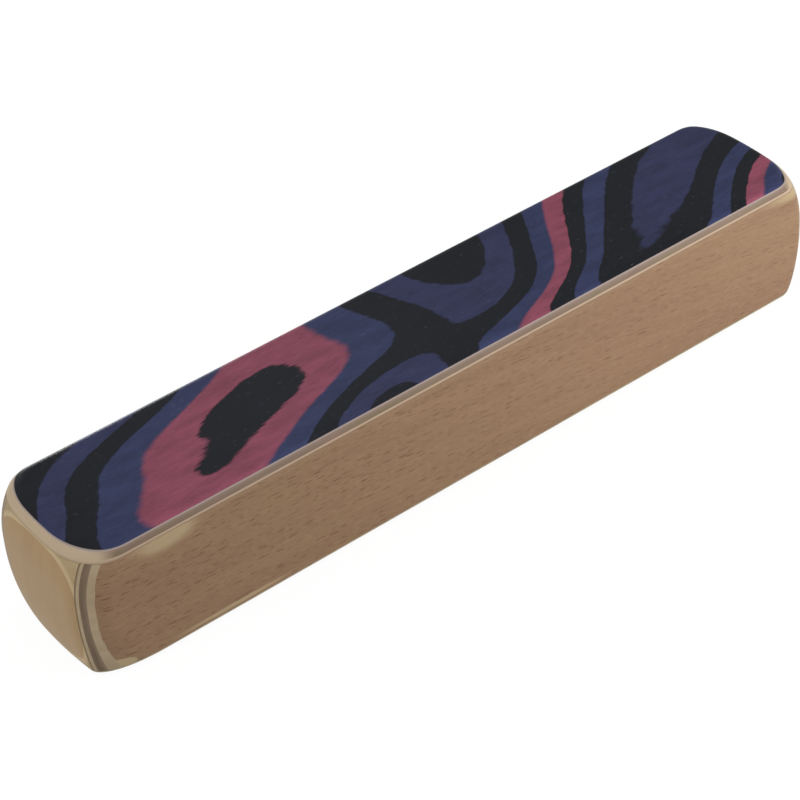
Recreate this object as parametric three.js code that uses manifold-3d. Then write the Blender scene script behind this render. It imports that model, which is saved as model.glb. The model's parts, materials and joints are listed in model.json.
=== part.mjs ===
// A bar-shaped wooden shaker: a closed box of veneered plywood panels and laminated end blocks, glued up,
// then sanded round at its long edges and ends, with loose steel shot inside.
// Millimetres, +X along the box, +Z up. The origin is the middle of the footprint, on the surface below.
import * as THREE from "three";
import { mergeVertices } from "three/addons/utils/BufferGeometryUtils.js";
import Module from "manifold-3d";

// Outside of the box.
const LENGTH = 264;
const WIDTH = 45;
const HEIGHT = 44;

// Round-over of the four long edges.
const EDGE_ROUND = 2.8;

// Crown of the sanded ends: how far their middle stands proud of their sides.
const END_CROWN = 1.9;

// Easing of the upright corners at mid-height, top and bottom: depth along the box and reach across it.
// The left front corner is sanded softer than the other three.
const SOFT_CORNER = {
  middle: { depth: 8.2, reach: 9.3 },
  top: { depth: 9.9, reach: 17.9 },
  bottom: { depth: 18.7, reach: 6 },
};
const CRISP_CORNER = {
  middle: { depth: 3.2, reach: 6.5 },
  top: { depth: 6.5, reach: 14.2 },
  bottom: { depth: 4.3, reach: 19.5 },
};

// Easing of the top and bottom rims of the ends: depth along the box and reach up or down.
const TOP_RIM = { depth: 6, reach: 16 };
const BOTTOM_RIM = { depth: 4.1, reach: 21 };

// Thickness of the layers of each panel, from the outside in, and of the glue between two layers.
const LID_LAYERS = { face_veneer: 0.9, outer_ply: 0.35, core_ply: 1.65, inner_ply: 0.45 };
const FLOOR_LAYERS = { face_veneer: 0.5, outer_ply: 0.3, core_ply: 0.6, inner_ply: 0.3 };
const WALL_LAYERS = { face_veneer: 1.5, outer_ply: 1.2, core_ply: 1.5, inner_ply: 1 };
const END_LAYERS = { face_board: 2, backing_block: 8 };
const GLUE_LINE = 0.1;

// The shot: balls in lanes along the box, each lane shifted along its travel by a share of it.
const SHOT_DIAMETER = 5;
const SHOT_CLEARANCE = 0.3;
const SHOT_LANES = 5;
const SHOT_PER_LANE = 8;
const LANE_STAGGER = 0.38;

// Fineness of the sanded surface and of the balls.
const ARC_STEPS = 5;
const EDGE_STEPS = 9;
const END_RINGS = 14;
const SHOT_DETAIL = 1;

// How far a cutting box reaches past the outside of the wood.
const OVERSIZE = 1;

// Colours and surfaces.
const DYED_VENEER = { color: "#33345a", roughness: 0.45, metalness: 0 };
const BEECH = { color: "#a07d60", roughness: 0.5, metalness: 0 };
const PALE_PLY = { color: "#b9a48a", roughness: 0.6, metalness: 0 };
const DARK_PLY = { color: "#7a6650", roughness: 0.65, metalness: 0 };
const STEEL = { color: "#b4b6b8", roughness: 0.25, metalness: 1 };
const PLY_FINISHES = { outer_ply: PALE_PLY, core_ply: DARK_PLY, inner_ply: PALE_PLY };
const LID_FINISHES = { face_veneer: DYED_VENEER, ...PLY_FINISHES };
const BEECH_FINISHES = { face_veneer: BEECH, ...PLY_FINISHES };
const END_FINISHES = { face_board: BEECH, backing_block: PALE_PLY };

const wasm = await Module();
wasm.setup();

const halfLength = LENGTH / 2;
const halfWidth = WIDTH / 2;
const halfHeight = HEIGHT / 2;

// Half the section's width or height where its round-over is cut at a distance across from the middle.
function roundedHalf(half, across, acrossHalf) {
  const over = THREE.MathUtils.clamp(Math.abs(across) - acrossHalf + EDGE_ROUND, 0, EDGE_ROUND);
  return half - EDGE_ROUND + Math.sqrt(EDGE_ROUND ** 2 - over ** 2);
}

// Depth of a quarter-ellipse easing at a distance from the middle line.
function easing(distance, half, depth, reach) {
  const share = THREE.MathUtils.clamp((distance - half + reach) / reach, 0, 1);
  return depth * (1 - Math.sqrt(1 - share ** 2));
}

// How far a sanded end lies inside its flat end plane, at a point given from the section's middle.
function endInset(side, y, z) {
  const corner = side < 0 && y < 0 ? SOFT_CORNER : CRISP_CORNER;
  const tip = z > 0 ? corner.top : corner.bottom;
  const towardsTip = (z / halfHeight) ** 2;
  const cornerDepth = THREE.MathUtils.lerp(corner.middle.depth, tip.depth, towardsTip);
  const cornerReach = THREE.MathUtils.lerp(corner.middle.reach, tip.reach, towardsTip);
  const cornerInset = easing(Math.abs(y), roundedHalf(halfWidth, z, halfHeight), cornerDepth, cornerReach);
  const rim = z > 0 ? TOP_RIM : BOTTOM_RIM;
  const rimInset = easing(Math.abs(z), roundedHalf(halfHeight, y, halfWidth), rim.depth, rim.reach);
  return END_CROWN * (y / halfWidth) ** 2 + cornerInset + rimInset;
}

// Points round the cross-section, from its middle, anticlockwise seen from +X.
function sectionLoop() {
  const y = halfWidth - EDGE_ROUND;
  const z = halfHeight - EDGE_ROUND;
  const quarter = Math.PI / 2;
  const outline = new THREE.Path();
  outline.absarc(y, z, EDGE_ROUND, 0, quarter);
  outline.absarc(-y, z, EDGE_ROUND, quarter, 2 * quarter);
  outline.absarc(-y, -z, EDGE_ROUND, 2 * quarter, 3 * quarter);
  outline.absarc(y, -z, EDGE_ROUND, 3 * quarter, 4 * quarter);
  outline.closePath();
  return outline.curves.flatMap((curve) => {
    const steps = curve.isLineCurve ? EDGE_STEPS : ARC_STEPS;
    return curve.getPoints(steps).slice(0, -1);
  });
}

// The whole outside as one closed surface: rings from the middle of the left end out over its rim, along
// the box and in over the right end.
function outsideGeometry() {
  const loop = sectionLoop();
  const quarterTurn = (i) => ((i + 1) / END_RINGS) * (Math.PI / 2);
  const shares = Array.from({ length: END_RINGS }, (_, i) => Math.sin(quarterTurn(i)));
  const ring = (side, share) =>
    loop.map((point) => {
      const y = point.x * share;
      const z = point.y * share;
      return new THREE.Vector3(side * (halfLength - endInset(side, y, z)), y, halfHeight + z);
    });
  const leftRings = shares.map((share) => ring(-1, share));
  const rightRings = shares.map((share) => ring(1, share)).reverse();
  const rings = [...leftRings, ...rightRings];
  const leftTip = new THREE.Vector3(-halfLength, 0, halfHeight);
  const rightTip = new THREE.Vector3(halfLength, 0, halfHeight);
  const points = [leftTip, ...rings.flat(), rightTip];
  const count = loop.length;
  const last = points.length - 1;
  const triangles = [];
  for (let i = 0; i < count; i++) {
    const next = (i + 1) % count;
    triangles.push(0, 1 + next, 1 + i);
    for (let k = 0; k < rings.length - 1; k++) {
      const here = 1 + k * count;
      const there = here + count;
      triangles.push(here + i, here + next, there + next, here + i, there + next, there + i);
    }
    triangles.push(last, last - count + i, last - count + next);
  }
  return new THREE.BufferGeometry().setFromPoints(points).setIndex(triangles);
}

function toSolid(geometry) {
  const bare = geometry.clone();
  bare.deleteAttribute("normal");
  bare.deleteAttribute("uv");
  const merged = mergeVertices(bare);
  const vertProperties = merged.attributes.position.array;
  const triVerts = new Uint32Array(merged.index.array);
  return new wasm.Manifold(new wasm.Mesh({ numProp: 3, vertProperties, triVerts }));
}

function toGeometry(solid) {
  const { vertProperties, triVerts } = solid.getMesh();
  const geometry = new THREE.BufferGeometry();
  geometry.setAttribute("position", new THREE.BufferAttribute(vertProperties, 3));
  geometry.setIndex(new THREE.BufferAttribute(triVerts, 1));
  geometry.computeVertexNormals();
  return geometry;
}

function namedMesh(name, geometry, finish) {
  const mesh = new THREE.Mesh(geometry, new THREE.MeshStandardMaterial(finish));
  mesh.name = name;
  return mesh;
}

// The layers of a panel, each with the depths at which it starts and ends below the panel's outside.
function layerDepths(layers) {
  let depth = 0;
  return Object.entries(layers).map(([layer, thickness]) => {
    const outer = depth > 0 ? depth : -OVERSIZE;
    const inner = depth + thickness;
    depth = inner + GLUE_LINE;
    return { layer, outer, inner };
  });
}

// Depth of a panel's inner face, and the depth at which the next piece starts behind its glue.
function seatBehind(layers) {
  return layerDepths(layers).at(-1).inner + GLUE_LINE;
}

const outside = toSolid(outsideGeometry());

// A panel as a group of its layers: what each layer's box keeps of the sanded outside.
// The panel lies against the outside plane at `face` on one axis and builds inwards within `room`.
function panel(name, layers, finishes, axis, face, inward, room) {
  const group = new THREE.Group();
  for (const { layer, outer, inner } of layerDepths(layers)) {
    const box = room.clone();
    box.min[axis] = Math.min(face + inward * outer, face + inward * inner);
    box.max[axis] = Math.max(face + inward * outer, face + inward * inner);
    const size = box.getSize(new THREE.Vector3());
    const middle = box.getCenter(new THREE.Vector3());
    const block = new THREE.BoxGeometry(size.x, size.y, size.z).translate(middle.x, middle.y, middle.z);
    const geometry = toGeometry(outside.intersect(toSolid(block)));
    group.add(namedMesh(`${name}_${layer}`, geometry, finishes[layer]));
  }
  return group;
}

// Room for each kind of panel: lid and floor over everything, walls between them, ends between the walls.
const lowest = new THREE.Vector3(-halfLength - OVERSIZE, -halfWidth - OVERSIZE, -OVERSIZE);
const highest = new THREE.Vector3(halfLength + OVERSIZE, halfWidth + OVERSIZE, HEIGHT + OVERSIZE);
const overRoom = new THREE.Box3(lowest, highest);
const wallRoom = overRoom.clone();
wallRoom.min.z = seatBehind(FLOOR_LAYERS);
wallRoom.max.z = HEIGHT - seatBehind(LID_LAYERS);
const endRoom = wallRoom.clone();
endRoom.min.y = seatBehind(WALL_LAYERS) - halfWidth;
endRoom.max.y = halfWidth - seatBehind(WALL_LAYERS);

// The loose shot, lying in lanes on the floor of the chamber between the panels.
function looseShot() {
  const group = new THREE.Group();
  const radius = SHOT_DIAMETER / 2;
  const pitch = SHOT_DIAMETER + SHOT_CLEARANCE;
  const chamberWidth = endRoom.max.y - endRoom.min.y;
  const chamberLength = LENGTH - 2 * seatBehind(END_LAYERS);
  const lanes = Math.min(SHOT_LANES, Math.floor(chamberWidth / pitch));
  const perLane = Math.min(SHOT_PER_LANE, Math.floor(chamberLength / pitch) - 1);
  const travel = chamberLength - (perLane - 1) * pitch - SHOT_DIAMETER - 2 * SHOT_CLEARANCE;
  const start = -chamberLength / 2 + SHOT_CLEARANCE + radius;
  for (let lane = 0; lane < lanes; lane++) {
    const rest = ((lane + 0.5) * LANE_STAGGER) % 1;
    for (let place = 0; place < perLane; place++) {
      const geometry = new THREE.IcosahedronGeometry(radius, SHOT_DETAIL);
      const ball = namedMesh(`shot_${lane + 1}_${place + 1}`, geometry, STEEL);
      const x = start + rest * travel + place * pitch;
      const y = ((lane + 0.5) / lanes - 0.5) * chamberWidth;
      ball.position.set(x, y, wallRoom.min.z + SHOT_CLEARANCE + radius);
      group.add(ball);
    }
  }
  return group;
}

const shaker = new THREE.Group();
shaker.add(panel("lid", LID_LAYERS, LID_FINISHES, "z", HEIGHT, -1, overRoom));
shaker.add(panel("floor", FLOOR_LAYERS, BEECH_FINISHES, "z", 0, 1, overRoom));
shaker.add(panel("front_wall", WALL_LAYERS, BEECH_FINISHES, "y", -halfWidth, 1, wallRoom));
shaker.add(panel("back_wall", WALL_LAYERS, BEECH_FINISHES, "y", halfWidth, -1, wallRoom));
shaker.add(panel("left_end", END_LAYERS, END_FINISHES, "x", -halfLength, 1, endRoom));
shaker.add(panel("right_end", END_LAYERS, END_FINISHES, "x", halfLength, -1, endRoom));
shaker.add(looseShot());

export default shaker;
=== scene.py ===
import json
import math

import bmesh
import bpy
import numpy as np
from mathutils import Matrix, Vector

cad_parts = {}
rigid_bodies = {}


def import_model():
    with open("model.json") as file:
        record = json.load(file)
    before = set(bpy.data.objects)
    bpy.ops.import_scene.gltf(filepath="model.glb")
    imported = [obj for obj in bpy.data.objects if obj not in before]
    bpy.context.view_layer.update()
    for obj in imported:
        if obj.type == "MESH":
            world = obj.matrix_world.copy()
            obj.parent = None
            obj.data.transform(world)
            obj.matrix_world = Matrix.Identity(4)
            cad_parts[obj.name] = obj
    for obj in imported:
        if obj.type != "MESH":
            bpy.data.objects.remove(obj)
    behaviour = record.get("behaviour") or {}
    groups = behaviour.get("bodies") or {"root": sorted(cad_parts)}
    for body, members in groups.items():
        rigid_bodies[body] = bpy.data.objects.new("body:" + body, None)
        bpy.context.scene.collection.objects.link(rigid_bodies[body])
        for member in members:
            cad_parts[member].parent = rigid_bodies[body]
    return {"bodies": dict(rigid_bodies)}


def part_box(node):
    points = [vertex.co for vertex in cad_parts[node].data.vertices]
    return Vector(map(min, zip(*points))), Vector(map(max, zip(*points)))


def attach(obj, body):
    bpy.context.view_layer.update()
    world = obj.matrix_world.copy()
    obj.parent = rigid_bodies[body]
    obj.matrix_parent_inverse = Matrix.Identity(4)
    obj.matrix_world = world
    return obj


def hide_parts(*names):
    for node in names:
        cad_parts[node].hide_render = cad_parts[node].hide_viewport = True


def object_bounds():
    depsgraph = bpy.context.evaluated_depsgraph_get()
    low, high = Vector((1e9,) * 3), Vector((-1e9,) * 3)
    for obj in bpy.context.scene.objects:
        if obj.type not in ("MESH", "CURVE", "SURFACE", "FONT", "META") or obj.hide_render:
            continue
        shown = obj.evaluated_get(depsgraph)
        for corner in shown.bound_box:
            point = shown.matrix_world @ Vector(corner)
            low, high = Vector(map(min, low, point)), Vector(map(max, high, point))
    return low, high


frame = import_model()
cad_lowest, cad_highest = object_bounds()

# End blocks, left and right: a beech face board glued on a thicker olive block, set between the long walls.
# They are glued up square and sanded with the whole box to crowned ends, so the block shows round the board
# where the sanding went deepest.
MM = 0.001
ALONG, ACROSS, UP = 0, 1, 2
GLUE_LINE = 0.1 * MM
EDGE_ROUND = 2.8 * MM
END_CROWN = 1.9 * MM
SOFT_CORNER = {"middle": (8.2, 9.3), "top": (9.9, 17.9), "bottom": (18.7, 6)}
CRISP_CORNER = {"middle": (3.2, 6.5), "top": (6.5, 14.2), "bottom": (4.3, 19.5)}
TOP_RIM = (6, 16)
BOTTOM_RIM = (4.1, 21)
ARC_STEPS = 14
EDGE_STEPS = 28
END_RINGS = 44
RELIEF = 0.02 * MM
half_length, half_width, half_height = (cad_highest - cad_lowest) / 2
quarter = math.pi / 2


def rounded_half(half, across, across_half):
    """Half the section's width or height, less its round-over, at a distance across from the middle."""
    over = np.clip(abs(across) - across_half + EDGE_ROUND, 0, EDGE_ROUND)
    return half - EDGE_ROUND + np.sqrt(EDGE_ROUND**2 - over**2)


def easing(distance, half, depth, reach):
    """Depth of a quarter-ellipse easing at a distance from the middle line."""
    share = np.clip((distance - half + reach) / reach, 0, 1)
    return depth * (1 - np.sqrt(1 - share**2))


def corner_sizes(corner, z):
    """Depth and reach of an upright corner's easing at heights from mid-height, in millimetres."""
    tip = np.where((z > 0)[:, None], corner["top"], corner["bottom"])
    return corner["middle"] + (tip - corner["middle"]) * ((z / half_height) ** 2)[:, None]


def end_inset(side, y, z):
    """How far a sanded end lies inside its flat end plane, at points given from the section's middle."""
    soft = (side < 0) & (y < 0)
    soft_sizes, crisp_sizes = corner_sizes(SOFT_CORNER, z), corner_sizes(CRISP_CORNER, z)
    depth, reach = np.where(soft[:, None], soft_sizes, crisp_sizes).T * MM
    rim_depth, rim_reach = np.where((z > 0)[:, None], TOP_RIM, BOTTOM_RIM).T * MM
    corner = easing(abs(y), rounded_half(half_width, z, half_height), depth, reach)
    rim = easing(abs(z), rounded_half(half_height, y, half_width), rim_depth, rim_reach)
    return END_CROWN * (y / half_width) ** 2 + corner + rim


def section_loop():
    """Points round the cross-section from its middle, closer together towards the corners."""
    signs = np.array(((1, 1), (-1, 1), (-1, -1), (1, -1)))
    centres = signs * (half_width - EDGE_ROUND, half_height - EDGE_ROUND)
    arc = np.linspace(0, quarter, ARC_STEPS + 1)
    share = (1 + np.sin(np.linspace(-quarter, quarter, EDGE_STEPS + 1)))[1:-1, None] / 2
    loop = []
    for turn, centre in enumerate(centres):
        angle = arc + turn * quarter
        round_over = EDGE_ROUND * np.c_[np.cos(angle), np.sin(angle)]
        run = centres[(turn + 1) % 4] - centre
        loop += [centre + round_over, centre + round_over[-1] + share * run]
    return np.vstack(loop)


def sanded_outside():
    """The whole outside as one closed surface, in rings from the left end along the box to the right end."""
    loop = section_loop()
    shares = np.sin(np.linspace(0, quarter, END_RINGS + 1)[1:])
    rings = []
    for side, order in ((-1, shares), (1, shares[::-1])):
        for share in order:
            y, z = (loop * share).T
            rings.append(np.c_[side * (half_length - end_inset(side, y, z)), y, half_height + z])
    made = bmesh.new()
    left_tip = made.verts.new((-half_length, 0, half_height))
    rows = [[made.verts.new(point) for point in ring] for ring in rings]
    right_tip = made.verts.new((half_length, 0, half_height))
    count = len(loop)
    for i in range(count):
        after = (i + 1) % count
        made.faces.new((left_tip, rows[0][after], rows[0][i]))
        for here, there in zip(rows, rows[1:]):
            made.faces.new((here[i], here[after], there[after], there[i]))
        made.faces.new((right_tip, rows[-1][i], rows[-1][after]))
    for face in made.faces:
        face.smooth = True
    return made


outside = sanded_outside()


def cut(solid, axis, place, side):
    """Take off what lies beyond a plane and close the cut with one flat face."""
    point, normal = Vector((0, 0, 0)), Vector((0, 0, 0))
    point[axis], normal[axis] = place, side
    whole = solid.verts[:] + solid.edges[:] + solid.faces[:]
    bmesh.ops.bisect_plane(solid, geom=whole, dist=1e-8, plane_co=point, plane_no=normal, clear_outer=True)
    rim = [edge for edge in solid.edges if edge.is_boundary]
    for face in bmesh.ops.holes_fill(solid, edges=rim, sides=0)["faces"]:
        face.smooth = False
    for edge in rim:
        edge.smooth = False


def sanded_panel(panel, thickness_axis, outward, edge_axes, layers):
    """A panel's layers, from the outside in, each cut from the sanded outside where its CAD node lies."""
    for place, (layer, slot, material) in enumerate(layers):
        node = f"{panel}_{layer}"
        limits = [list(corner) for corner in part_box(node)]
        to_outer_ply = GLUE_LINE / 2 if place > 0 else 0
        to_inner_ply = GLUE_LINE / 2 if place < len(layers) - 1 else 0
        limits[outward > 0][thickness_axis] += outward * to_outer_ply
        limits[outward < 0][thickness_axis] -= outward * to_inner_ply
        solid = outside.copy()
        for axis in (thickness_axis, *edge_axes):
            if limits[0][axis] > cad_lowest[axis] + GLUE_LINE:
                cut(solid, axis, limits[0][axis], -1)
            if limits[1][axis] < cad_highest[axis] - GLUE_LINE:
                cut(solid, axis, limits[1][axis], 1)
        mesh = bpy.data.meshes.new(f"sanded_{node}")
        solid.to_mesh(mesh)
        solid.free()
        piece = bpy.data.objects.new(f"sanded_{node}", mesh)
        bpy.context.scene.collection.objects.link(piece)
        mesh.materials.append(material)
        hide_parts(node)
        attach(piece, "case")


def tint(red, green, blue):
    """A colour as a paint chart gives it, 0 to 255, turned into the linear values that a shader takes."""
    parts = np.array((red, green, blue)) / 255
    linear = np.where(parts <= 0.04045, parts / 12.92, ((parts + 0.055) / 1.055) ** 2.4)
    return (*linear.tolist(), 1.0)


def put(tree, kind, inputs=None, **settings):
    """Add a shader node with its options, and feed its inputs from plain values or from other sockets."""
    made = tree.nodes.new("ShaderNode" + kind)
    for name, value in settings.items():
        setattr(made, name, value)
    for name, value in (inputs or {}).items():
        if isinstance(value, bpy.types.NodeSocket):
            tree.links.new(value, made.inputs[name])
        else:
            made.inputs[name].default_value = value
    return made


def reckon(tree, operation, *values):
    """The result of a Math node."""
    return put(tree, "Math", dict(enumerate(values)), operation=operation).outputs[0]


def reckon_vector(tree, operation, *values):
    """The vector that a Vector Math node gives."""
    return put(tree, "VectorMath", dict(enumerate(values)), operation=operation).outputs["Vector"]


def coordinate(tree, place, axis):
    """One coordinate of a place."""
    return put(tree, "SeparateXYZ", {"Vector": place}).outputs[axis]


def tipped(tree, place, angle):
    """A place turned about the length of the box."""
    return put(tree, "VectorRotate", {"Vector": place, "Angle": angle}, rotation_type="X_AXIS").outputs[0]


def between(tree, value, start, end):
    """Nought at start, one at end, with a soft step between."""
    inputs = {"Value": value, "From Min": start, "From Max": end}
    return put(tree, "MapRange", inputs, interpolation_type="SMOOTHSTEP").outputs["Result"]


def blended(tree, share, first, second):
    """Two colours mixed by a share, on the colour sockets of a Mix node."""
    inputs = {"Factor": share, 6: first, 7: second}
    return put(tree, "Mix", inputs, data_type="RGBA").outputs[2]


def washed(tree, wood, mask, share, colour):
    """A wood's colour with a thin wash of another where a mask shows."""
    return blended(tree, reckon(tree, "MULTIPLY", mask, share), wood, colour)


def cloudy(tree, place, pitch, detail=2, roughness=0.5):
    """Noise from 0 to 1 that changes over the given distances along each axis."""
    steps = reckon_vector(tree, "DIVIDE", place, pitch)
    inputs = {"Vector": steps, "Scale": 1, "Detail": detail, "Roughness": roughness}
    return put(tree, "TexNoise", inputs).outputs["Fac"]


def shader_group(name, takes, gives):
    """An empty shader node group with named sockets, and its two end nodes."""
    group = bpy.data.node_groups.new(name, "ShaderNodeTree")
    for socket, kind in takes.items():
        group.interface.new_socket(name=socket, in_out="INPUT", socket_type="NodeSocket" + kind)
    for socket, kind in gives.items():
        group.interface.new_socket(name=socket, in_out="OUTPUT", socket_type="NodeSocket" + kind)
    return group, group.nodes.new("NodeGroupInput").outputs, group.nodes.new("NodeGroupOutput").inputs


# Grain of a board in millimetres, with X along the fibres: broad bands of growth and fine fibres.
wood_grain, taken, given = shader_group(
    "wood_grain", {"Position": "Vector", "Pitch": "Vector"}, {"Broad": "Float", "Fibre": "Float"})
broad = cloudy(wood_grain, taken["Position"], taken["Pitch"], 2, 0.55)
finer = reckon_vector(wood_grain, "DIVIDE", taken["Pitch"], (3, 9, 9))
fibre = cloudy(wood_grain, taken["Position"], finer, 3, 0.6)
wood_grain.links.new(between(wood_grain, broad, 0.25, 0.75), given["Broad"])
wood_grain.links.new(between(wood_grain, fibre, 0.2, 0.8), given["Fibre"])


def new_finish(name, roughness=0.55, specular=0.2):
    """A piece's finish: its material, node tree, shader, and place on the piece in millimetres."""
    material = bpy.data.materials.new(name)
    material.use_nodes = True
    tree = material.node_tree
    shader = tree.nodes["Principled BSDF"]
    shader.inputs["Roughness"].default_value = roughness
    shader.inputs["Specular IOR Level"].default_value = specular
    spot = put(tree, "TexCoord").outputs["Object"]
    return material, tree, shader, reckon_vector(tree, "DIVIDE", spot, (MM, MM, MM))


def place_group(tree, group, **inputs):
    """The outputs of a node group placed in a material, with its inputs by name."""
    return put(tree, "Group", inputs, node_tree=group).outputs


def raised(tree, shader, height):
    """The fine relief of wood fibres on a material."""
    bump = put(tree, "Bump", {"Height": height, "Distance": RELIEF})
    tree.links.new(bump.outputs["Normal"], shader.inputs["Normal"])


def depth_below(tree, spot, axis, half):
    """Depth below the flat plane of the box on one axis, in millimetres from the outside."""
    along = coordinate(tree, spot, axis)
    return reckon(tree, "SUBTRACT", half / MM, reckon(tree, "ABSOLUTE", along))


def ply_grain(tree, shader, spot, pale, dark, pitch, fibres):
    """Colour of a sanded ply: growth bands from pale to dark, with fibres on them and a fine relief."""
    grain = place_group(tree, wood_grain, Position=spot, Pitch=pitch)
    raised(tree, shader, grain["Fibre"])
    return washed(tree, blended(tree, grain["Broad"], pale, dark), grain["Fibre"], fibres, dark)


board_thickness = (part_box("left_end_face_board")[1].x - cad_lowest.x + GLUE_LINE / 2) / MM
BOARD_GRAIN = math.radians(84)
OLIVE_BLOCK = {"pale": tint(172, 152, 116), "dark": tint(158, 137, 103), "pitch": (9, 14, 4), "fibres": 0.3}
END_BEECH = {"pale": tint(165, 138, 101), "dark": tint(159, 131, 94), "pitch": (60, 5, 5), "fibres": 0.3}
PALE_OLIVE = tint(188, 166, 131)
PALE_STRIP = (board_thickness + 0.8, board_thickness + 0.3)

end_block, tree, shader, spot = new_finish("olive_block")
wood = ply_grain(tree, shader, spot, **OLIVE_BLOCK)
beside_board = between(tree, depth_below(tree, spot, "X", half_length), *PALE_STRIP)
tree.links.new(washed(tree, wood, beside_board, 0.8, PALE_OLIVE), shader.inputs["Base Color"])

end_board, tree, shader, spot = new_finish("beech_end_board", roughness=0.5)
upright = tipped(tree, spot, BOARD_GRAIN)
along_z = put(tree, "Mapping", {"Vector": upright, "Rotation": (0, 0, quarter)}).outputs[0]
tree.links.new(ply_grain(tree, shader, along_z, **END_BEECH), shader.inputs["Base Color"])

end_layers = [("face_board", "beech", end_board), ("backing_block", "pale_ply", end_block)]
for end, outward in (("left_end", -1), ("right_end", 1)):
    sanded_panel(end, ALONG, outward, (ACROSS, UP), end_layers)

# Long walls, front and back: beech face veneer on three plies, with the dark core between pale plies.
# They lap over the end blocks, so the sanded upright corners show every layer as a stripe, and a dark
# glue line where the wall meets the block.
wall_veneer = (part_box("front_wall_face_veneer")[1].y - cad_lowest.y) / MM
wall_thickness = (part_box("front_wall_inner_ply")[1].y - cad_lowest.y) / MM
lid_thickness = (cad_highest.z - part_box("front_wall_face_veneer")[1].z) / MM
GRAIN_SLOPE = math.radians(5.5)
GRAIN_ARC = 0.00026
GRAIN_DRIFT = 2.5
BEECH = {"pale": tint(143, 114, 86), "dark": tint(135, 105, 80), "fibre": tint(120, 92, 68),
         "mottle": tint(160, 132, 104), "pore": tint(78, 36, 0)}
BEECH_PITCH = {"bands": (70, 6, 400), "drift": (80, 33, 400), "mottle": (3.5, 1.2, 400),
               "clusters": (30, 7, 400)}
FLECKS = {"Cell": (4.5, 1.9, 1), "Size": (1.9, 0.14, 1), "Share": 0.7}
SPECKS = {"Cell": (3.1, 1.3, 1), "Size": (0.9, 0.12, 1), "Share": 0.55}
PORES_FADE = (130, -130)
SANDED_THIN = {
    "under_lid": {"centre": (-103.5, 39), "reach": (11.5, 4.4), "edge": (0.4, 1), "share": 0.8},
    "low_corner": {"centre": (-124, 2), "reach": (8, 4.4), "edge": (0.6, 0.7), "share": 0.9},
    "low_edge": {"centre": (-86, 3.4), "reach": (20, 0.8), "edge": (0.35, 1), "share": 0.8},
    "far_corner": {"centre": (129, 39.3), "reach": (17, 2.8), "edge": (0.4, 1), "share": 0.7},
}
THIN_BEECH, PALE_BEECH, BARE_PLY = tint(174, 154, 119), tint(172, 145, 115), tint(166, 147, 119)
STRIP_UNDER_LID = (lid_thickness + 2.6, lid_thickness + 0.3)
WORN_THROUGH = (wall_veneer + 0.12, wall_veneer + 0.2)
WALL_PALE = {"pale": tint(174, 155, 127), "dark": tint(160, 141, 114), "pitch": (40, 6, 3), "fibres": 0.35}
WALL_CORE = {"pale": tint(120, 102, 82), "dark": tint(100, 83, 65), "pitch": (14, 0.8, 9), "fibres": 0.5}
GLUE, CORE_OUTSIDE = tint(104, 86, 62), tint(136, 117, 97)
GLUE_STAIN = (wall_thickness - 0.45, wall_thickness - 0.15)
CORE_OUTER_HALF = (3.7, 2.9)

# A hill with bell-shaped slopes on a plan, added to the level under it.
soft_hill, taken, given = shader_group(
    "soft_hill", {"Plan": "Vector", "Centre": "Vector", "Reach": "Vector", "Turn": "Float", "Rise": "Float",
                  "Under": "Float"}, {"Level": "Float"})
back = reckon(soft_hill, "MULTIPLY", taken["Turn"], -1)
turned = put(soft_hill, "VectorRotate", {"Vector": taken["Plan"], "Center": taken["Centre"], "Angle": back},
             rotation_type="Z_AXIS").outputs[0]
off = reckon_vector(soft_hill, "SUBTRACT", turned, taken["Centre"])
off = reckon_vector(soft_hill, "DIVIDE", off, taken["Reach"])
square = put(soft_hill, "VectorMath", {0: off, 1: off}, operation="DOT_PRODUCT").outputs["Value"]
bell = reckon(soft_hill, "EXPONENT", reckon(soft_hill, "MULTIPLY", square, -1))
soft_hill.links.new(reckon(soft_hill, "MULTIPLY_ADD", bell, taken["Rise"], taken["Under"]), given["Level"])


def hill_on(tree, plan, under, centre, reach, turn=0, rise=1):
    """The level of a plan with one hill added, its turn in degrees."""
    shape = {"Centre": (*centre, 0), "Reach": (*reach, 1), "Turn": math.radians(turn), "Rise": rise}
    return place_group(tree, soft_hill, Plan=plan, Under=under, **shape)["Level"]


# Pores of beech: short dark flecks along the fibres, one to a cell, of mixed size and strength, of which
# only a share show.
pore_flecks, taken, given = shader_group(
    "pore_flecks", {"Position": "Vector", "Cell": "Vector", "Size": "Vector", "Share": "Float"},
    {"Mask": "Float"})
steps = reckon_vector(pore_flecks, "DIVIDE", taken["Position"], taken["Cell"])
cells = put(pore_flecks, "TexVoronoi", {"Vector": steps, "Scale": 1, "Randomness": 1},
            voronoi_dimensions="2D").outputs
off = reckon_vector(pore_flecks, "SUBTRACT", steps, cells["Position"])
off = reckon_vector(pore_flecks, "MULTIPLY", off, taken["Cell"])
off = reckon_vector(pore_flecks, "DIVIDE", off, taken["Size"])
off = reckon_vector(pore_flecks, "MULTIPLY", off, (1, 1, 0))
reach = put(pore_flecks, "VectorMath", {0: off}, operation="LENGTH").outputs["Value"]
chance = put(pore_flecks, "SeparateColor", {"Color": cells["Color"]}).outputs
reach = reckon(pore_flecks, "DIVIDE", reach, reckon(pore_flecks, "MULTIPLY_ADD", chance["Blue"], 0.8, 0.4))
chosen = reckon(pore_flecks, "LESS_THAN", chance["Red"], taken["Share"])
fleck = reckon(pore_flecks, "MULTIPLY", between(pore_flecks, reach, 1, 0.55), chosen)
strength = reckon(pore_flecks, "MULTIPLY_ADD", chance["Green"], 0.4, 0.6)
pore_flecks.links.new(reckon(pore_flecks, "MULTIPLY", fleck, strength), given["Mask"])


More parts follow.
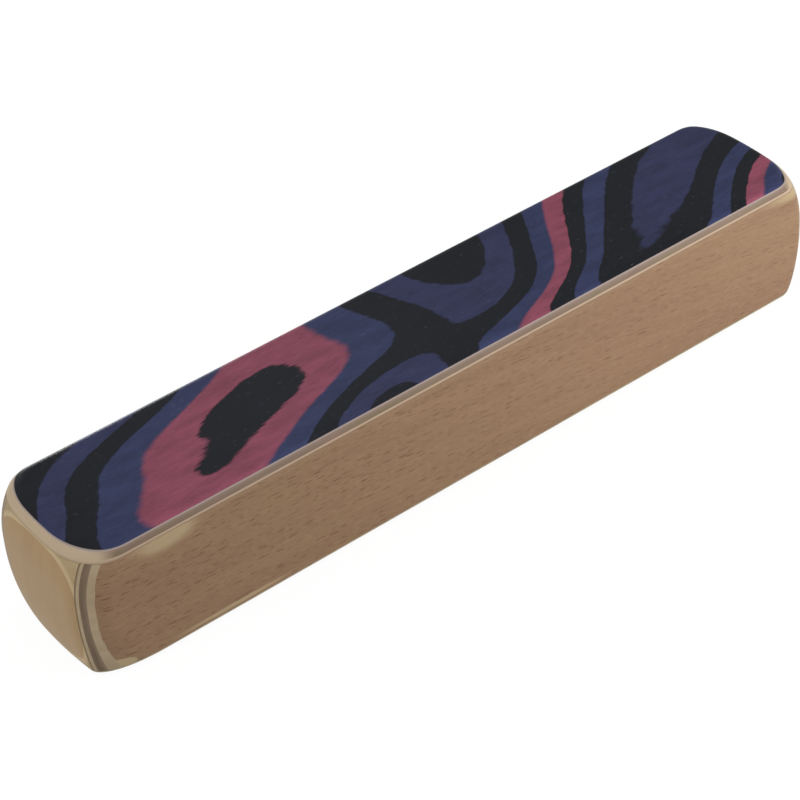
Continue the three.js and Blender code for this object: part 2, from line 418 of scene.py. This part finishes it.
def beech_veneer(name, spin):
    """Beech face veneer with bands, fibres and pores: its material, tree, shader, place and colour."""
    material, tree, shader, spot = new_finish(name, roughness=0.5)
    face_on = tipped(tree, spot, spin)
    length = coordinate(tree, face_on, "X")
    sloped = put(tree, "Mapping", {"Vector": face_on, "Rotation": (0, 0, GRAIN_SLOPE)}).outputs[0]
    drift = reckon(tree, "MULTIPLY", cloudy(tree, face_on, BEECH_PITCH["drift"]), GRAIN_DRIFT)
    drift = reckon(tree, "MULTIPLY_ADD", reckon(tree, "MULTIPLY", length, length), GRAIN_ARC, drift)
    along = reckon_vector(tree, "ADD", sloped, put(tree, "CombineXYZ", {"Y": drift}).outputs[0])
    grain = place_group(tree, wood_grain, Position=along, Pitch=BEECH_PITCH["bands"])
    bands = blended(tree, grain["Broad"], BEECH["pale"], BEECH["dark"])
    wood = washed(tree, bands, grain["Fibre"], 0.35, BEECH["fibre"])
    mottle = between(tree, cloudy(tree, along, BEECH_PITCH["mottle"], 3, 0.6), 0.45, 0.75)
    wood = washed(tree, wood, mottle, 0.3, BEECH["mottle"])
    flecks = place_group(tree, pore_flecks, Position=along, **FLECKS)["Mask"]
    specks = place_group(tree, pore_flecks, Position=along, **SPECKS)["Mask"]
    pores = reckon(tree, "MAXIMUM", flecks, reckon(tree, "MULTIPLY", specks, 0.8))
    faded = reckon(tree, "MULTIPLY_ADD", between(tree, length, *PORES_FADE), 0.4, 0.6)
    clusters = between(tree, cloudy(tree, along, BEECH_PITCH["clusters"]), 0.3, 0.5)
    pores = reckon(tree, "MULTIPLY", reckon(tree, "MULTIPLY", pores, faded), clusters)
    raised(tree, shader, reckon(tree, "SUBTRACT", grain["Fibre"], pores))
    return material, tree, shader, spot, blended(tree, pores, wood, BEECH["pore"])


wall_face, tree, shader, spot, wood = beech_veneer("beech_wall_face", -quarter)
under_lid = between(tree, depth_below(tree, spot, "Z", 2 * half_height), *STRIP_UNDER_LID)
wood = washed(tree, wood, under_lid, 0.15, PALE_BEECH)
in_front = reckon(tree, "LESS_THAN", coordinate(tree, spot, "Y"), 0)
elevation = reckon_vector(tree, "MULTIPLY", tipped(tree, spot, -quarter), (1, 1, 0))
uneven = reckon(tree, "MULTIPLY", cloudy(tree, spot, (7, 7, 3)), 0.3)
for thin in SANDED_THIN.values():
    level = hill_on(tree, elevation, uneven, thin["centre"], thin["reach"])
    shown = reckon(tree, "MULTIPLY", between(tree, level, *thin["edge"]), in_front)
    wood = washed(tree, wood, shown, thin["share"], THIN_BEECH)
wavering = reckon(tree, "MULTIPLY", cloudy(tree, spot, (6, 6, 2.2), 3), 0.35)
worn = reckon(tree, "ADD", depth_below(tree, spot, "Y", half_width), wavering)
wood = blended(tree, between(tree, worn, *WORN_THROUGH), wood, BARE_PLY)
tree.links.new(wood, shader.inputs["Base Color"])

wall_pale, tree, shader, spot = new_finish("wall_pale_ply")
wood = ply_grain(tree, shader, spot, **WALL_PALE)
stained = between(tree, depth_below(tree, spot, "Y", half_width), *GLUE_STAIN)
tree.links.new(washed(tree, wood, stained, 0.8, GLUE), shader.inputs["Base Color"])

wall_core, tree, shader, spot = new_finish("wall_core_ply")
wood = ply_grain(tree, shader, spot, **WALL_CORE)
outer_half = between(tree, depth_below(tree, spot, "Y", half_width), *CORE_OUTER_HALF)
tree.links.new(washed(tree, wood, outer_half, 0.6, CORE_OUTSIDE), shader.inputs["Base Color"])

wall_layers = [("face_veneer", "beech", wall_face), ("outer_ply", "pale_ply", wall_pale),
               ("core_ply", "core_ply", wall_core), ("inner_ply", "pale_ply", wall_pale)]
for wall, outward in (("front_wall", -1), ("back_wall", 1)):
    sanded_panel(wall, ACROSS, outward, (UP,), wall_layers)

# Floor: a thin beech-faced three-ply panel, lapped over the lower edges of the walls and blocks.
# Its plies come out as a narrow olive band round the bottom edge.
FLOOR_OLIVE_AND_BOUNCE = {"pale": tint(178, 166, 136), "dark": tint(160, 147, 118), "pitch": (30, 8, 2), "fibres": 0.35}

floor_face, tree, shader, spot, wood = beech_veneer("beech_floor_face", 0)
tree.links.new(wood, shader.inputs["Base Color"])
# The floor plies' colour is their olive, made paler by painted bounce light from the table below.
floor_ply_and_bounce, tree, shader, spot = new_finish("floor_olive_ply_and_bounce")
tree.links.new(ply_grain(tree, shader, spot, **FLOOR_OLIVE_AND_BOUNCE), shader.inputs["Base Color"])

floor_layers = [("face_veneer", "beech", floor_face), ("outer_ply", "pale_ply", floor_ply_and_bounce),
                ("core_ply", "core_ply", floor_ply_and_bounce), ("inner_ply", "pale_ply", floor_ply_and_bounce)]
sanded_panel("floor", UP, -1, (), floor_layers)

# Loose shot: bright steel balls that lie on the floor of the chamber and run along it when the box is
# shaken. They go in before the lid is glued on.
BALL_DETAIL = 3
BRIGHT_STEEL, SCUFFED_STEEL = tint(196, 197, 200), tint(168, 170, 174)
SCUFF_PITCH = (0.45, 0.45, 0.45)

steel, tree, shader, spot = new_finish("bright_steel", roughness=0.25, specular=0.5)
shader.inputs["Metallic"].default_value = 1
scuffs = cloudy(tree, spot, SCUFF_PITCH, 4, 0.6)
tree.links.new(blended(tree, scuffs, BRIGHT_STEEL, SCUFFED_STEEL), shader.inputs["Base Color"])
tree.links.new(reckon(tree, "MULTIPLY_ADD", scuffs, 0.3, 0.12), shader.inputs["Roughness"])

for body in frame["bodies"]:
    if not body.startswith("shot_"):
        continue
    lowest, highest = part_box(body)
    ball = bmesh.new()
    radius = (highest - lowest).length / 2 / math.sqrt(3)
    bmesh.ops.create_icosphere(ball, subdivisions=BALL_DETAIL, radius=radius)
    bmesh.ops.translate(ball, verts=ball.verts, vec=(lowest + highest) / 2)
    for face in ball.faces:
        face.smooth = True
    mesh = bpy.data.meshes.new(f"steel_{body}")
    ball.to_mesh(mesh)
    ball.free()
    piece = bpy.data.objects.new(f"steel_{body}", mesh)
    bpy.context.scene.collection.objects.link(piece)
    mesh.materials.append(steel)
    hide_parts(body)
    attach(piece, body)

# Lid: three plies lapped over the walls and blocks, under a face veneer sliced from a stack of dyed sheets.
# The stack was pressed in a mould of hills and hollows, so a flat slice shows the sheets as winding bands.
MOULD = {
    "near_corner": {"centre": (-145.4, 4.2), "reach": (80.1, 17.8), "turn": 27, "rise": 2.11},
    "near_tip": {"centre": (-137.9, 15.1), "reach": (15.2, 19.4), "turn": 17, "rise": 1.02},
    "near_lip": {"centre": (-114.6, -18), "reach": (12.2, 13.7), "turn": -1, "rise": -0.33},
    "pink_lip": {"centre": (-98.9, -22.1), "reach": (6.9, 3.7), "turn": 0, "rise": -0.29},
    "eye": {"centre": (-63.8, 2.6), "reach": (85.7, 15.1), "turn": -5, "rise": -2.25},
    "eye_notch": {"centre": (-76.6, -3.6), "reach": (4.9, 2.6), "turn": -1, "rise": 0.11},
    "eye_foot": {"centre": (-80.9, -11.9), "reach": (6.9, 3.3), "turn": -1, "rise": -0.08},
    "near_front": {"centre": (-87.1, -17.6), "reach": (35.2, 15), "turn": 5, "rise": -2.73},
    "near_back": {"centre": (-37.8, 26.9), "reach": (40, 22.5), "turn": 41, "rise": -2.48},
    "back_dip": {"centre": (-7.1, 13.3), "reach": (23, 12.3), "turn": -11, "rise": -0.53},
    "middle_back": {"centre": (24.4, 4.1), "reach": (27.8, 46.4), "turn": -10, "rise": 2.25},
    "middle_front": {"centre": (-26.6, -24.5), "reach": (23.7, 14.2), "turn": 15, "rise": 2.16},
    "far_front": {"centre": (36.3, -22.6), "reach": (50.1, 11), "turn": 1, "rise": -3.16},
    "far_dip": {"centre": (66.4, -7.8), "reach": (18.7, 9.5), "turn": 17, "rise": -0.77},
    "far_hollow": {"centre": (109.5, 9.1), "reach": (69.3, 35.6), "turn": 23, "rise": -7.31},
    "far_lip": {"centre": (109, -21.2), "reach": (12.1, 10.6), "turn": 5, "rise": 0.78},
    "far_corner": {"centre": (134.5, -21.3), "reach": (16.8, 32.1), "turn": 46, "rise": 2.64},
    "far_tip": {"centre": (117.2, 12.1), "reach": (14.2, 8.1), "turn": 0, "rise": 0.18},
}
MOULD_LEVEL = 3.82
NAVY, VIOLET_NAVY, BLACK, PINK = tint(62, 68, 102), tint(61, 64, 96), tint(31, 33, 37), tint(157, 86, 105)
SHEETS = [VIOLET_NAVY, BLACK, NAVY, BLACK, PINK, NAVY, BLACK, VIOLET_NAVY, BLACK]
LOWEST_SHEET = -3
BLEED, PINK_BLEED = 0.04, 0.1
TORN_ANYWHERE = 1.5
TORN_EYE = {"centre": (-62, -2), "reach": (30, 12), "turn": 20, "rise": 12}
DYE_PITCH = {"torn": (11, 0.6, 1), "strayed": (6, 3, 1), "fibre": (9, 1.6, 1), "uneven": (14, 4, 1),
             "clumps": (16, 12, 1)}
DEEP_DYE, DUST_AND_SHEEN, WORN_DYE = tint(20, 20, 24), tint(150, 154, 170), tint(157, 143, 136)
DUST_SPECKS = {"Cell": (3, 2, 1), "Size": (0.8, 0.06, 1), "Share": 0.4}
DUST_HAZE_AND_SHEEN = {"centre": (-50, 0), "reach": (75, 40), "rise": 0.024}
WORN_EDGE = (0.66, 0.7)
LID_OUTER = {"pale": tint(166, 151, 142), "dark": tint(152, 136, 126), "pitch": (30, 8, 2), "fibres": 0.3}
LID_CORE = {"pale": tint(128, 109, 93), "dark": tint(117, 98, 83), "pitch": (22, 12, 2), "fibres": 0.4}
LID_INNER = {"pale": tint(172, 148, 124), "dark": tint(160, 136, 114), "pitch": (40, 8, 3), "fibres": 0.3}
LID_ENDS = {"outer": tint(178, 159, 136), "core": tint(180, 159, 133), "inner": tint(170, 149, 123)}
OUTER_INSIDE = tint(130, 110, 97)
OUTER_SKIN = (0.98, 1.03)
ROSY_CORE, OLIVE_CORE, CREAM_CORE = tint(134, 106, 95), tint(118, 104, 79), tint(181, 157, 134)
CORE_INNER_SIDE = (2.6, 2.85)
CORE_TONE_PITCH = (17, 17, 9)

dyed_face, tree, shader, spot = new_finish("dyed_veneer", roughness=0.5, specular=0.04)
plan = reckon_vector(tree, "MULTIPLY", spot, (1, 1, 0))
tearing = hill_on(tree, plan, TORN_ANYWHERE, **TORN_EYE)
torn = reckon(tree, "SUBTRACT", cloudy(tree, plan, DYE_PITCH["torn"], 5, 0.85), 0.5)
shift = put(tree, "CombineXYZ", {"X": reckon(tree, "MULTIPLY", torn, tearing)}).outputs[0]
slice_spot = reckon_vector(tree, "ADD", plan, shift)
level = MOULD_LEVEL
for hill in MOULD.values():
    level = hill_on(tree, slice_spot, level, **hill)
strayed = reckon(tree, "SUBTRACT", cloudy(tree, plan, DYE_PITCH["strayed"]), 0.5)
level = reckon(tree, "MULTIPLY_ADD", strayed, 0.18, level)
colour = SHEETS[0]
for step, (under, sheet) in enumerate(zip(SHEETS, SHEETS[1:]), LOWEST_SHEET):
    bleed = PINK_BLEED if under == PINK else BLEED
    colour = blended(tree, between(tree, level, step + 0.5 - bleed, step + 0.5 + bleed), colour, sheet)
grain = place_group(tree, wood_grain, Position=plan, Pitch=DYE_PITCH["fibre"])
uneven_dye = between(tree, cloudy(tree, plan, DYE_PITCH["uneven"], 4, 0.6), 0.3, 0.7)
colour = washed(tree, colour, reckon(tree, "ADD", grain["Fibre"], uneven_dye), 0.25, DEEP_DYE)
specks = place_group(tree, pore_flecks, Position=plan, **DUST_SPECKS)["Mask"]
clumps = between(tree, cloudy(tree, plan, DYE_PITCH["clumps"]), 0.4, 0.7)
dusty = reckon(tree, "MULTIPLY", specks, reckon(tree, "MULTIPLY_ADD", clumps, 0.3, 0.12))
# The faint paler wash over the middle of the lid, in the dust colour, is partly dust and partly painted
# sheen.
colour = blended(tree, hill_on(tree, plan, dusty, **DUST_HAZE_AND_SHEEN), colour, DUST_AND_SHEEN)
worn_edge = between(tree, depth_below(tree, spot, "Z", 2 * half_height), *WORN_EDGE)
tree.links.new(blended(tree, worn_edge, colour, WORN_DYE), shader.inputs["Base Color"])
raised(tree, shader, grain["Fibre"])


def paler_facing_ends(tree, on_sides, pale):
    """A ply's colour, paler where its surface faces along the box, on the box's two ends."""
    facing = coordinate(tree, put(tree, "TexCoord").outputs["Normal"], "X")
    return blended(tree, between(tree, reckon(tree, "ABSOLUTE", facing), 0.15, 0.55), on_sides, pale)


lid_outer, tree, shader, spot = new_finish("lid_outer_ply", roughness=0.5)
wood = ply_grain(tree, shader, spot, **LID_OUTER)
under_skin = between(tree, depth_below(tree, spot, "Z", 2 * half_height), *OUTER_SKIN)
wood = blended(tree, under_skin, wood, OUTER_INSIDE)
tree.links.new(paler_facing_ends(tree, wood, LID_ENDS["outer"]), shader.inputs["Base Color"])

lid_core, tree, shader, spot = new_finish("lid_core_ply")
wood = ply_grain(tree, shader, spot, **LID_CORE)
tone = cloudy(tree, spot, CORE_TONE_PITCH)
wood = washed(tree, wood, between(tree, tone, 0.52, 0.66), 0.6, ROSY_CORE)
wood = washed(tree, wood, between(tree, tone, 0.48, 0.34), 0.6, OLIVE_CORE)
inner_side = between(tree, depth_below(tree, spot, "Z", 2 * half_height), *CORE_INNER_SIDE)
wood = blended(tree, inner_side, wood, CREAM_CORE)
tree.links.new(paler_facing_ends(tree, wood, LID_ENDS["core"]), shader.inputs["Base Color"])

lid_inner, tree, shader, spot = new_finish("lid_inner_ply")
wood = ply_grain(tree, shader, spot, **LID_INNER)
tree.links.new(paler_facing_ends(tree, wood, LID_ENDS["inner"]), shader.inputs["Base Color"])

lid_layers = [("face_veneer", "dyed_veneer", dyed_face), ("outer_ply", "pale_ply", lid_outer),
              ("core_ply", "core_ply", lid_core), ("inner_ply", "pale_ply", lid_inner)]
sanded_panel("lid", UP, 1, (), lid_layers)
outside.free()

# Stage: a plain white table that keeps the object's soft shadow, seen under a white studio.
# It lies a hair under the box and is clear from below, so that the underside can be looked at.
TABLE_REACH = 6
TABLE_GAP = 0.1 * MM
TABLE_GREY = (0.75, 0.75, 0.75, 1)
WHITE = (1, 1, 1, 1)
WHITE_SHARE = 0.9
WHITE_GLOW = 1.05
AMBIENT = 0.2

table = bmesh.new()
bmesh.ops.create_grid(table, x_segments=1, y_segments=1, size=TABLE_REACH)
mesh = bpy.data.meshes.new("white_table")
table.to_mesh(mesh)
table.free()
piece = bpy.data.objects.new("white_table", mesh)
piece.location.z = -TABLE_GAP
bpy.context.scene.collection.objects.link(piece)


def seen_directly(tree):
    """One for rays from the camera and for those it sends on by gloss or through glass."""
    rays = put(tree, "LightPath").outputs
    passed_on = reckon(tree, "MAXIMUM", rays["Is Glossy Ray"], rays["Is Transmission Ray"])
    return reckon(tree, "MAXIMUM", rays["Is Camera Ray"], passed_on)


white = bpy.data.materials.new("white_table")
white.use_nodes = True
tree = white.node_tree
tree.nodes.remove(tree.nodes["Principled BSDF"])
cloth = put(tree, "BsdfDiffuse", {"Color": TABLE_GREY}).outputs[0]
glow = put(tree, "Emission", {"Color": WHITE, "Strength": WHITE_GLOW}).outputs[0]
share = reckon(tree, "MULTIPLY", seen_directly(tree), WHITE_SHARE)
surface = put(tree, "MixShader", {0: share, 1: cloth, 2: glow}).outputs[0]
from_below = put(tree, "NewGeometry").outputs["Backfacing"]
clear = put(tree, "BsdfTransparent").outputs[0]
surface = put(tree, "MixShader", {0: from_below, 1: surface, 2: clear}).outputs[0]
tree.links.new(surface, tree.nodes["Material Output"].inputs["Surface"])
mesh.materials.append(white)

studio = bpy.data.worlds.new("studio")
bpy.context.scene.world = studio
studio.use_nodes = True
tree = studio.node_tree
dome = tree.nodes["Background"]
dome.inputs["Color"].default_value = WHITE
strength = reckon(tree, "MULTIPLY_ADD", seen_directly(tree), 1 - AMBIENT, AMBIENT)
tree.links.new(strength, dome.inputs["Strength"])

# Soft boxes: a broad one overhead and one off the left end for the soft shadow, and two low ones close by,
# towards the front right and behind, whose light falls off along the walls.
SOFT_BOXES = {
    "overhead": {"place": (-0.2, 0.1, 1.6), "size": 1.6, "power": 11},
    "front_right": {"place": (0.24, -0.32, 0.11), "size": 0.25, "power": 1.33},
    "left": {"place": (-0.9, -0.1, 0.5), "size": 0.6, "power": 3.6},
    "behind": {"place": (0.05, 0.45, 0.022), "size": 0.04, "power": 1.2},
}
for name, box in SOFT_BOXES.items():
    lamp = bpy.data.lights.new(name, "AREA")
    lamp.size = box["size"]
    lamp.energy = box["power"]
    holder = bpy.data.objects.new(name, lamp)
    bpy.context.scene.collection.objects.link(holder)
    holder.location = box["place"]
    holder.rotation_euler = (-holder.location).to_track_quat("-Z", "Y").to_euler()

# Camera: a long lens above the near left corner, tipped a little to one side.
CAMERA_LENS = 114.52
CAMERA_SENSOR = 36
CAMERA_SIGHT = 20
CAMERA_PLACE = (-0.33601, -0.45959, 0.4848)
CAMERA_ANGLES = (50.372, 3.297, -38.088)

camera = bpy.data.cameras.new("camera")
camera.lens = CAMERA_LENS
camera.sensor_width = CAMERA_SENSOR
camera.clip_end = CAMERA_SIGHT
viewer = bpy.data.objects.new("camera", camera)
bpy.context.scene.collection.objects.link(viewer)
viewer.location = CAMERA_PLACE
viewer.rotation_euler = [math.radians(angle) for angle in CAMERA_ANGLES]
bpy.context.scene.camera = viewer
bpy.context.scene.view_settings.view_transform = "Standard"
